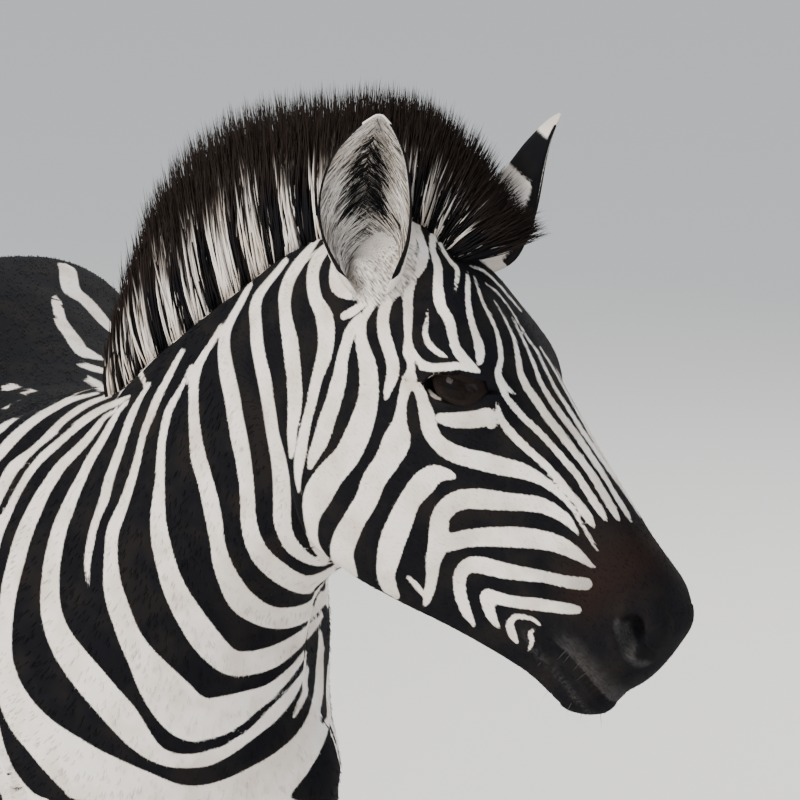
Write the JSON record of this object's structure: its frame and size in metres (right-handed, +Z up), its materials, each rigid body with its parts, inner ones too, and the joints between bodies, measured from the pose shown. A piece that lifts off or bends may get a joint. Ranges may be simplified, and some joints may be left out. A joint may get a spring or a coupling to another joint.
{
  "type": "zebra",
  "caption": "Plains zebra standing at rest on its hooves, its head lowered and turned to its left, with an upright mane and a tufted tail; a still, life-size display model.",
  "frame": {"origin": "on the ground at the middle of the bounding box", "axes": "+X the way the body faces, +Y to the animal's left, +Z up"},
  "size_m": [1.7962, 0.7008, 1.6731],
  "materials": {
    "coat": "short flat fur, near-black stripes on warm off-white, near-black muzzle",
    "long_hair": "stiff upright hair, striped black and white at its root, black and brown at its tips",
    "eye": "wet, very dark brown",
    "hoof": "dark grey horn with faint growth rings"
  },
  "bodies": {
    "root": {"trunk": "coat", "neck": "coat", "head": "coat", "foreleg_left": "coat", "foreleg_right": "coat", "hindleg_left": "coat", "hindleg_right": "coat", "ear_left": "coat", "ear_right": "coat", "tail_dock": "coat", "mane": "long_hair", "tail_tuft": "long_hair", "eye_left": "eye", "eye_right": "eye", "hoof_fore_left": "hoof", "hoof_fore_right": "hoof", "hoof_hind_left": "hoof", "hoof_hind_right": "hoof"}
  },
  "joints": []
}
